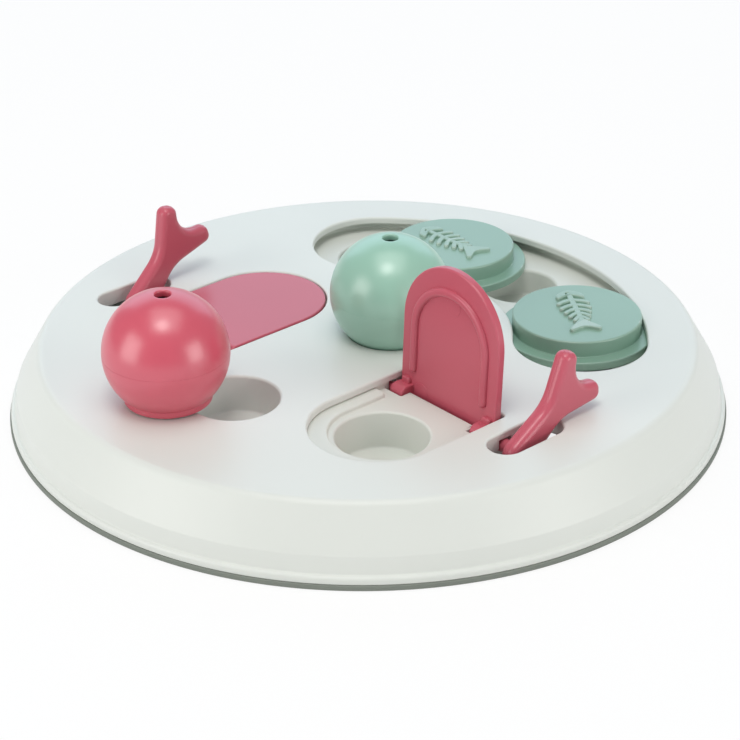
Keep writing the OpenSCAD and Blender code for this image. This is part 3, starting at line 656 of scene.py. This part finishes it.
def build_deck():
    deck = Solid()
    lip_inner = LIP_R - LIP_W
    tongue = LIP_R - LIP_W / 2
    groove_top = RING_H + TONGUE_H + 0.04
    section = profile(
        (
            (DECK_R - DECK_EDGE - 2, DECK_TOP), (DECK_R, DECK_TOP), (SLOPE_R, SLOPE_FOOT), (BAND_R, LIP_H),
            (LIP_R, LIP_H), (LIP_R, RING_H),
            (tongue + TONGUE_W / 2 + 0.04, RING_H), (tongue + TONGUE_W / 2 + 0.04, groove_top),
            (tongue - TONGUE_W / 2 - 0.04, groove_top), (tongue - TONGUE_W / 2 - 0.04, RING_H),
            (lip_inner, RING_H), (lip_inner, LIP_H), (BAND_R - SKIRT_T, LIP_H),
            (SLOPE_R - SKIRT_T, SLOPE_FOOT), (DECK_R - SKIRT_T, DECK_BOTTOM),
            (DECK_R - SKIRT_T - 2, DECK_BOTTOM),
        ),
        (DECK_EDGE, SLOPE_FOOT_EDGE, LIP_FILLET, LIP_EDGE, 0.25, 0, 0, 0, 0, 0.25, 0, 0, 0, 0.8), 8)
    skin = deck.turn(section, count=320)
    tops, bottoms = [skin[0]], [skin[-1]]
    green_cup = middle_of("green_ball_bowl")
    holes = [ball_cup(deck, *FREE_CUP), ball_cup(deck, green_cup.x, green_cup.y)]
    holes.append(through_hole(deck, track_outline(TRACK_HALF)))
    opening = arch(FLAP_HALF, FLAP_OPENING_BACK, FLAP_REACH, FLAP_OPENING_CORNER)
    for place in (LEFT, RIGHT):
        flat = at(place.translation.x, place.translation.y) @ place.to_3x3().to_4x4()
        holes.append(through_hole(deck, opening, flat))
        holes.append(lever_slot(deck, place))
        for x, y in BOX_BOSSES:
            boss(deck, flat @ at(x, y), BOX_BOSS_Z)
    tops += [top for top, bottom in holes]
    bottoms += [bottom for top, bottom in holes]
    deck.fill(tops)
    deck.fill(bottoms)
    for angle in TRACK_BOSS_ANGLES:
        for radius in TRACK_BOSS_RADII:
            ray = math.radians(angle)
            boss(deck, at(TRACK_X + radius * math.cos(ray), radius * math.sin(ray)), TRACK_BOSS_Z)
    for i in range(GUSSETS):
        gusset(deck, GUSSET_FIRST + i * 360 / GUSSETS)
    deck.piece("deck", white, ["deck_shell"])


def build_ring():
    ring = Solid()
    inner = LIP_R - LIP_W
    tongue = LIP_R - LIP_W / 2
    corners = (
        (inner, 0), (RING_R, 0), (RING_R, RING_H), (tongue + TONGUE_W / 2, RING_H),
        (tongue + TONGUE_W / 2, RING_H + TONGUE_H), (tongue - TONGUE_W / 2, RING_H + TONGUE_H),
        (tongue - TONGUE_W / 2, RING_H), (inner, RING_H),
    )
    section = [p for p, n in rounded(corners, (0.4, RING_EDGE, RING_EDGE, 0, 0.3, 0.3, 0, 0.3), 4)]
    ring.turn(section, count=320, closed=True)
    ring.piece("grip", rubber, ["grip_ring"])


def ear(solid, place, low):
    """Screw ear of a tray, with its hole, reaching back into the tray's wall."""
    corners = ((-EAR_R, -EAR_R), (EAR_BACK, -EAR_R), (EAR_BACK, EAR_R), (-EAR_R, EAR_R))
    round_end = EAR_R * 0.98
    outer = solid.loft(rounded(corners, (round_end, 0, 0, round_end)), ((0, low), (0, low + EAR_T)), place)
    hole = solid.turn(((SCREW_PASS_R, low), (SCREW_PASS_R, low + EAR_T)), place, 24)
    for outer_ring, hole_ring in zip(outer, hole):
        solid.fill([outer_ring, hole_ring])


def build_track():
    tray = Solid()
    under = TRACK_FLOOR - TRAY_T
    section = profile(
        (
            (-CHANNEL_FILLET - 0.6, TRACK_FLOOR), (0, TRACK_FLOOR), (0, DECK_BOTTOM), (TRAY_T, DECK_BOTTOM),
            (TRAY_T, under), (TRAY_T - CHANNEL_FILLET - 0.6, under),
        ),
        (CHANNEL_FILLET, 0, 0, CHANNEL_FILLET), 4)
    skin = tray.loft(track_outline(CHANNEL_HALF), section)
    tops, bottoms = [skin[0]], [skin[-1]]
    for angle in (TRACK_FROM, (TRACK_FROM + TRACK_TO) / 2, TRACK_TO):
        place = at(*on_track(TRACK_R, angle))
        top, bottom = hanging_cup(
            tray, place, TRACK_CUP_R, TRACK_CUP_DEPTH, TRACK_CUP_EDGE, TRACK_FLOOR, under)
        tops.append(top)
        bottoms.append(bottom)
    tray.fill(tops)
    tray.fill(bottoms)
    for angle in TRACK_BOSS_ANGLES:
        for radius, facing in zip(TRACK_BOSS_RADII, (0, 180)):
            turn = Matrix.Rotation(math.radians(angle + facing), 4, "Z")
            ear(tray, at(*on_track(radius, angle)) @ turn, TRACK_FLOOR - EAR_T)
    tray.piece("track", tray_white, ["track_tray"])


def box_wall(solid, place):
    """Wall of a flap's box, with a notch over each bearing."""
    inner = FLAP_HALF + BOX_GAP
    plan = arch(inner, FLAP_OPENING_BACK + BOX_GAP, FLAP_REACH, FLAP_OPENING_CORNER)
    plan = with_notch(with_notch(plan, -1, PIN_NOTCH), 1, AXLE_NOTCH)

    def bearing(point):
        half = PIN_NOTCH if point.y < 0 else AXLE_NOTCH
        at_axis = abs(point.x) <= half + 0.001 and abs(point.y) > inner - 0.5
        return Vector((point.x, point.y, min(point.z, -half))) if at_axis else point

    section = ((0, BOX_BOTTOM), (0, BOX_TOP), (BOX_WALL, BOX_TOP), (BOX_WALL, BOX_BOTTOM))
    rings = solid.loft(plan, section, place, lift=bearing)
    solid.bridge(rings[-1], rings[0])


def box_platform(solid, place):
    """Platform with its treat cup, cut away under the flap's barrels, and the wall at its edge."""
    side = FLAP_HALF + BOX_GAP + BOX_WALL / 2
    notch_in = BARREL_OUT - BARREL_L - BARREL_ROOM
    notch_end = BARREL_R + BARREL_ROOM
    tip = FLAP_REACH + side
    plan = rounded(
        (
            (PLATFORM_EDGE, notch_in), (PLATFORM_EDGE, -notch_in), (notch_end, -notch_in), (notch_end, -side),
            (tip, -side), (tip, side), (notch_end, side), (notch_end, notch_in),
        ),
        (0.5, 0.5, 0.5, 0, side, side, 0, 0.5), 24)
    under = PLATFORM_TOP - TRAY_T
    edge = 0.4
    section = profile(((0, under), (0, PLATFORM_TOP), (-2 * edge, PLATFORM_TOP)), (edge,), 4)
    skin = solid.loft(plan, section, place)
    cup = hanging_cup(
        solid, place @ at(TREAT_CUP_X, 0), TREAT_CUP_R, TREAT_CUP_DEPTH, TREAT_CUP_EDGE, PLATFORM_TOP, under)
    solid.fill([skin[-1], cup[0]])
    solid.fill([skin[0], cup[1]])
    back = -FLAP_OPENING_BACK - 0.4
    front = PLATFORM_EDGE + TRAY_T
    sunk = 0.1
    for low_x, high_x, half, top in (
            (PLATFORM_EDGE, front, notch_in, under + 0.3),
            (PLATFORM_EDGE, front - sunk, side, -notch_end),
            (back, front - 2 * sunk, side - sunk, POCKET_FLOOR)):
        corners = ((low_x, -half), (high_x, -half), (high_x, half), (low_x, half))
        solid.loft(rounded(corners, (0, 0, 0, 0)), ((0, BOX_BOTTOM), (0, top)), place, low=True, high=True)


def build_box(name, node, place):
    box = Solid()
    box_wall(box, place)
    box_platform(box, place)
    dip = 0.03
    foot = PLATFORM_TOP - dip
    step = profile(
        ((LEDGE_FILLET + 0.1, foot), (0, foot), (0, LEDGE_TOP), (-LEDGE_EDGE - 0.1, LEDGE_TOP)),
        (LEDGE_FILLET, LEDGE_EDGE), 6)
    box.loft(ledge_outline(FLAP_HALF + BOX_GAP + BOX_WALL / 2), step, place, low=True, high=True)
    for x, y in BOX_BOSSES:
        facing = 0 if x < 0 else 90 if y < 0 else -90
        ear(box, place @ at(x, y) @ Matrix.Rotation(math.radians(facing), 4, "Z"), BOX_BOTTOM)
    box.piece(name, tray_white, [node])


def build_lid(name, node, place):
    lid = Solid()
    under, top = AXIS_DEPTH - LID_T, AXIS_DEPTH
    plan = arch(LID_HALF, LID_BACK, FLAP_REACH, LID_CORNER)
    inset = -2 * LID_EDGE
    section = profile(((inset, under), (0, under), (0, top), (inset, top)), (LID_EDGE, LID_EDGE), 5)
    lid.loft(plan, section, low=True, high=True)
    curl_from = LID_BACK_EDGE - LID_BACK
    steps = 6
    for i in range(steps + 1):
        cut = curl_from - LID_BACK_EDGE * i / (steps + 1)
        geometry = lid.bm.verts[:] + lid.bm.edges[:] + lid.bm.faces[:]
        bmesh.ops.bisect_plane(lid.bm, geom=geometry, plane_co=(cut, 0, 0), plane_no=(1, 0, 0))
    for vert in lid.bm.verts:
        past = curl_from - vert.co.x
        if past > 0:
            drop = LID_BACK_EDGE - math.sqrt(max(LID_BACK_EDGE ** 2 - past ** 2, 0))
            vert.co.z -= drop * (vert.co.z - under) / LID_T
    rib = arch_band(RIB_OUTER, RIB_W, RIB_START, ARCH_REACH)
    rib_section = profile(
        ((0, under + 0.3), (0, under - RIB_H), (-RIB_W / 2 + 0.05, under - RIB_H)), (RIB_EDGE,), 5)
    lid.loft(rib, rib_section, high=True, low=True)
    upright = Matrix.Rotation(math.radians(90), 4, "X")
    side_plan = rounded(
        ((-BARREL_R, under + 0.3), (-BARREL_R, -BARREL_R), (BARREL_R, -BARREL_R), (BARREL_R, under + 0.3)),
        (0, BARREL_R, BARREL_R, 0), 14)
    for inner in (-BARREL_OUT, BARREL_OUT - BARREL_L):
        outer = inner + BARREL_L
        ends = profile(((-0.8, -outer), (0, -outer), (0, -inner), (-0.8, -inner)), (0.35, 0.35), 4)
        lid.loft(side_plan, ends, upright, low=True, high=True)
        lug = rounded(
            ((0, inner + 1), (LUG_FRONT, inner + 1), (LUG_FRONT, outer - 1), (0, outer - 1)),
            (0.5, 0.9, 0.9, 0.5), 5)
        lug_section = profile(((0, under + 0.3), (0, under - RIB_H), (-0.8, under - RIB_H)), (0.5,), 4)
        lid.loft(lug, lug_section, low=True, high=True)
    pin_root = BARREL_OUT - 0.4
    pin = profile(((0, PIN_END), (PIN_R, PIN_END), (PIN_R, pin_root), (0, pin_root)), (0.3, 0), 4)
    lid.turn(pin, upright, 40)
    for x, y in EJECTOR_MARKS:
        face, sunk = under - 0.09, under + 0.2
        mark = profile(((0, sunk), (EJECTOR_R, sunk), (EJECTOR_R, face), (0, face)), (0, 0.08), 3)
        lid.turn(mark, at(x, y), 48)
    lid.bm.transform(place)
    lid.piece(name, pink, [node])


def build_lever(name, node, place):
    lever = Solid()
    lobe = Vector(LOBE)
    along = (lobe - Vector((LEVER_WAIST[0], 0))).normalized()
    across = Vector((-along.y, along.x))
    outer = lobe + LOBE_HALF * (along + across)
    inner = lobe + LOBE_HALF * (along - across)
    waist = Vector(LEVER_WAIST)
    hub_back, hub_half = LEVER_HUB
    upper = [inner, outer, waist, Vector((-hub_back, hub_half))]
    lower = [Vector((p.x, -p.y)) for p in reversed(upper)]
    tip = LOBE_HALF * 0.94
    lean = math.atan2(hub_half - waist.y, hub_back + waist.x)
    hub = HUB_FILL * hub_half * math.tan(math.pi / 4 - lean / 2)
    radii = (hub, WAIST_R, tip, tip, NOTCH_R, tip, tip, WAIST_R, hub)
    plan = rounded(lower + [Vector((NOTCH_REACH, 0))] + upper, radii, 14)
    half = LEVER_T / 2
    inset = -LEVER_EDGE - 0.3
    low = profile(((inset, -half), (0, -half), (0, -0.4)), (LEVER_EDGE,), 10)
    high = profile(((0, 0.4), (0, half), (inset, half)), (LEVER_EDGE,), 10)
    parting = [Vector((0, -0.12)), Vector((PARTING, -0.05)), Vector((PARTING, 0.05)), Vector((0, 0.12))]
    turn = (
        at(0, LEVER_SIDE)
        @ Matrix.Rotation(math.radians(-LEVER_ANGLE), 4, "Y")
        @ Matrix.Rotation(math.radians(90), 4, "X")
        @ at(0, LEVER_SHIFT)
    )
    lever.loft(plan, low + parting + high, place @ turn, low=True, high=True)
    lever.piece(name, pink, [node])


def fish(solid, place):
    """Fish-bone relief: head with an eye, spine, swept ribs and fluke, all with rounded edges."""

    def section(height):
        return [
            (0.14, -0.3), (0.05, 0.2 * height), (0, 0.55 * height), (-0.09, 0.8 * height),
            (-0.24, 0.95 * height), (-0.42, height),
        ]

    def raised(outline, height):
        solid.loft(outline, section(height), place, low=True, high=True)

    spine_from = FISH_GILL[0] - 2.6
    steps = 12
    spine = [Vector((spine_from + (SPINE_END - spine_from) * k / steps, 0)) for k in range(steps + 1)]
    raised(band(spine, [BONE_HALF] * (steps + 1)), 0.90 * FISH_H)
    for tip_x, tip_y in RIB_TIPS:
        path = []
        for k in range(-9, 10):
            part = abs(k) / 9
            path.append(Vector((tip_x - RIB_SWEEP * (1 - part ** 1.9), tip_y * k / 9)))
        raised(band(path, [BONE_HALF * (1 - 0.14 * abs(k) / 9) for k in range(-9, 10)]), 0.95 * FISH_H)
    gill_x, gill_y = FISH_GILL
    head = rounded(
        (
            (FISH_NOSE, 0), (FISH_NOSE + 1.2, -2.3),
            (gill_x - 2.2, -gill_y - 0.5), (gill_x + 0.8, -gill_y - 0.4),
            (gill_x - 0.6, -gill_y * 0.62), (gill_x - 2.0, 0), (gill_x - 0.6, gill_y * 0.62),
            (gill_x + 0.8, gill_y + 0.4), (gill_x - 2.2, gill_y + 0.5), (FISH_NOSE + 1.2, 2.3),
        ),
        (1.2, 2.0, 2.4, 0.6, 1.6, 1.2, 1.6, 0.6, 2.4, 2.0), 8)
    rings = solid.loft(head, section(FISH_H), place, low=True)
    eye_section = [
        (0.3, FISH_H), (0.12, FISH_H - 0.06), (0.0, FISH_H - 0.22), (0.0, 0.12), (-FISH_EYE_R, 0.12),
    ]
    eye = solid.loft(arc_pairs(FISH_EYE, FISH_EYE_R, 0, 345, 23), eye_section, place)
    solid.fill([rings[-1], eye[0]])
    (root_x, root_y), (middle_x, middle_y), (tip_x, tip_y) = FLUKE_ROOT, FLUKE_MIDDLE, FLUKE_TIP
    fluke = rounded(
        (
            (root_x, -root_y), (middle_x, -middle_y), (tip_x - 1.2, -tip_y), (tip_x + 0.5, -tip_y + 0.5),
            (FLUKE_END, 0), (tip_x + 0.5, tip_y - 0.5), (tip_x - 1.2, tip_y),
            (middle_x, middle_y), (root_x, root_y),
        ),
        (0.8, 3.0, 0.7, 0.7, 3.4, 0.7, 0.7, 3.0, 0.8), 8)
    raised(fluke, 0.98 * FISH_H)


def build_slider(name, node, turn):
    slider = Solid()
    low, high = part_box(node)
    centre = middle_of(node)
    base = low.z / MM
    top = high.z / MM - FISH_H
    flange_top = base + FLANGE_T
    hollow = SLIDER_R - SLIDER_T
    section = profile(
        (
            (0, top), (SLIDER_R, top), (SLIDER_R, flange_top), (FLANGE_R, flange_top), (FLANGE_R, base),
            (hollow, base), (hollow, top - SLIDER_T), (0, top - SLIDER_T),
        ),
        (SLIDER_EDGE, 0.35, FLANGE_EDGE, 0.3, 0.3, 1.0), 7)
    slider.turn(section, at(centre.x, centre.y))
    fish(slider, at(centre.x, centre.y, top) @ Matrix.Rotation(math.radians(turn), 4, "Z"))
    slider.piece(name, green, [node])


def sphere_points(radius, start, end, steps):
    """Points of a ball's section between two angles above the equator."""
    angles = [math.radians(start + (end - start) * i / steps) for i in range(steps + 1)]
    return [Vector((radius * math.cos(a), radius * math.sin(a))) for a in angles]


def build_ball(name, material, dome_node, bowl_node):
    low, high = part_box(bowl_node)
    centre = middle_of(bowl_node)
    place = at(centre.x, centre.y, low.z / MM + COLLAR_DROP)
    inner_r = BALL_R - BALL_T

    dome = Solid()
    rim = math.degrees(math.acos((SCENT_R + SCENT_EDGE) / BALL_R))
    inner_rim = math.degrees(math.acos(SCENT_R / inner_r))
    seam_angle = math.degrees(SEAM / BALL_R)
    outside = [Vector((BALL_R - SEAM, 0.0)), Vector((BALL_R - SEAM, SEAM * 0.4))]
    outside += sphere_points(BALL_R, seam_angle, rim, 44)
    edge = [
        Vector((SCENT_R + SCENT_EDGE * part, outside[-1].y - drop))
        for part, drop in ((0.62, 0.02), (0.3, 0.16), (0.08, 0.42), (0.0, 0.75))
    ]
    inside = sphere_points(inner_r, inner_rim, 0, 30)
    dome.turn(outside + edge + inside, place, 128, closed=True)
    dome.piece(name + "_dome", material, [dome_node])

    bowl = Solid()
    collar_top = -math.sqrt(BALL_R ** 2 - (COLLAR_R + 0.25) ** 2)
    collar = math.degrees(math.atan2(collar_top, COLLAR_R + 0.25))
    mouth = COLLAR_R - BALL_T
    outside = [Vector((BALL_R - SEAM, 0.0)), Vector((BALL_R - SEAM, -SEAM * 0.4))]
    outside += sphere_points(BALL_R, -seam_angle, collar, 30)
    foot = profile(
        (
            (COLLAR_R, collar_top + 0.3), (COLLAR_R, -COLLAR_DROP), (mouth, -COLLAR_DROP),
            (mouth, -math.sqrt(inner_r ** 2 - mouth ** 2)),
        ),
        (COLLAR_EDGE, COLLAR_EDGE), 5)
    inner_start = math.degrees(math.atan2(-math.sqrt(inner_r ** 2 - mouth ** 2), mouth))
    inside = sphere_points(inner_r, inner_start, 0, 24)[1:]
    bowl.turn(outside + foot + inside, place, 128, closed=True)
    bowl.piece(name + "_bowl", material, [bowl_node])


def finish_cad_node(node, material):
    """Keeps a CAD node, with its finish."""
    obj = frame["nodes"][node]
    obj.data.materials.clear()
    obj.data.materials.append(material)


build_deck()
build_ring()
build_track()
build_box("box_left", "flap_box_left", LEFT)
build_box("box_right", "flap_box_right", RIGHT)
build_lid("lid_left", "flap_left", LEFT)
build_lid("lid_right", "flap_right", RIGHT @ opened(FLAP_OPEN))
build_lever("lever_left", "tail_lever_left", LEFT)
build_lever("lever_right", "tail_lever_right", RIGHT @ opened(FLAP_OPEN))
build_slider("slide_rear", "slider_rear", REAR_FISH_TURN)
build_slider("slide_front", "slider_front", FRONT_FISH_TURN)
build_ball("ball_pink", ball_pink, "pink_ball_dome", "pink_ball_bowl")
build_ball("ball_green", ball_green, "green_ball_dome", "green_ball_bowl")
for node_name in ("track_tray_screws", "flap_box_left_screws", "flap_box_right_screws"):
    finish_cad_node(node_name, steel)
for node_name in ("hinge_axle_left", "hinge_axle_right"):
    finish_cad_node(node_name, pink)


# Stage


def area_light(name, position, target, size, power, colour, shape="RECTANGLE"):
    """Soft panel that faces a target; positions in metres."""
    data = bpy.data.lights.new(name, "AREA")
    data.shape = shape
    data.size = size[0]
    if shape == "RECTANGLE":
        data.size_y = size[1]
    data.energy = power
    data.color = colour
    obj = bpy.data.objects.new(name, data)
    obj.location = position
    obj.rotation_euler = (Vector(target) - Vector(position)).to_track_quat("-Z", "Y").to_euler()
    obj.visible_camera = False
    bpy.context.collection.objects.link(obj)


def white_to_camera(tree, lit, output, share):
    """Shows camera, glossy and transmitted rays this share of plain white; the rest is the lit shader."""
    path = node_of(tree, "ShaderNodeLightPath")
    seen = path.outputs["Is Camera Ray"]
    for name in ("Is Glossy Ray", "Is Transmission Ray"):
        either = node_of(tree, "ShaderNodeMath", operation="MAXIMUM")
        tree.links.new(seen, either.inputs[0])
        tree.links.new(path.outputs[name], either.inputs[1])
        seen = either.outputs[0]
    bright = node_of(tree, "ShaderNodeEmission")
    bright.inputs["Color"].default_value = (1.0, 1.0, 1.0, 1.0)
    mix = node_of(tree, "ShaderNodeMixShader")
    tree.links.new(ranged(tree, seen, 0.0, 1.0, 0.0, share), mix.inputs[0])
    tree.links.new(lit, mix.inputs[1])
    tree.links.new(bright.outputs[0], mix.inputs[2])
    tree.links.new(mix.outputs[0], output)


# Share of plain white in the floor that the camera sees; the rest shows the shadow
FLOOR_WHITE = 0.84

world = bpy.data.worlds.new("studio")
bpy.context.scene.world = world
world.use_nodes = True
background = world.node_tree.nodes["Background"]
background.inputs["Color"].default_value = (0.97, 0.985, 1.0, 1.0)
background.inputs["Strength"].default_value = 0.28

floor_mesh = bpy.data.meshes.new("floor")
floor_half = 20.0
floor_mesh.from_pydata(
    [(x * floor_half, y * floor_half, 0) for x, y in ((-1, -1), (1, -1), (1, 1), (-1, 1))],
    [], [(0, 1, 2, 3)])
floor = bpy.data.objects.new("floor", floor_mesh)
bpy.context.collection.objects.link(floor)
paper = bpy.data.materials.new("floor_paper")
paper.use_nodes = True
paper_shader = paper.node_tree.nodes["Principled BSDF"]
paper_shader.inputs["Base Color"].default_value = (0.93, 0.93, 0.93, 1.0)
paper_shader.inputs["Roughness"].default_value = 0.9
paper_shader.inputs["Specular IOR Level"].default_value = 0.0
paper_output = paper.node_tree.nodes["Material Output"]
white_to_camera(paper.node_tree, paper_shader.outputs[0], paper_output.inputs["Surface"], FLOOR_WHITE)
floor_mesh.materials.append(paper)

AIM = (0, 0, 0.02)
area_light("left_box", (-0.86, -0.43, 0.33), AIM, (0.56, 0.66), 3.8, (1.0, 0.99, 0.96))
area_light("right_box", (0.82, -0.55, 0.27), AIM, (0.50, 0.52), 3.2, (1.0, 0.99, 0.96))
area_light("top_spot", (-0.09, -0.32, 0.97), AIM, (0.34, 0.34), 1.8, (1.0, 1.0, 0.98), "DISK")
area_light("overhead", (0.0, -0.1, 1.1), AIM, (0.9, 0.9), 4.3, (1.0, 1.0, 0.98))
area_light("back_panel", (0.0, 1.06, 0.58), AIM, (1.9, 0.9), 7.6, (0.64, 0.82, 1.0))

camera_data = bpy.data.cameras.new("camera")
camera_data.lens = CAMERA_LENS
camera_data.sensor_width = CAMERA_SENSOR
camera_data.clip_end = 20.0
camera = bpy.data.objects.new("camera", camera_data)
tilt = Matrix.Rotation(math.radians(CAMERA_TILT), 4, "X")
roll = Matrix.Rotation(math.radians(CAMERA_ROLL), 4, "Z")
camera.matrix_world = Matrix.Translation(Vector(CAMERA_AT) * MM) @ tilt @ roll
bpy.context.collection.objects.link(camera)
bpy.context.scene.camera = camera
bpy.context.scene.view_settings.view_transform = "Standard"
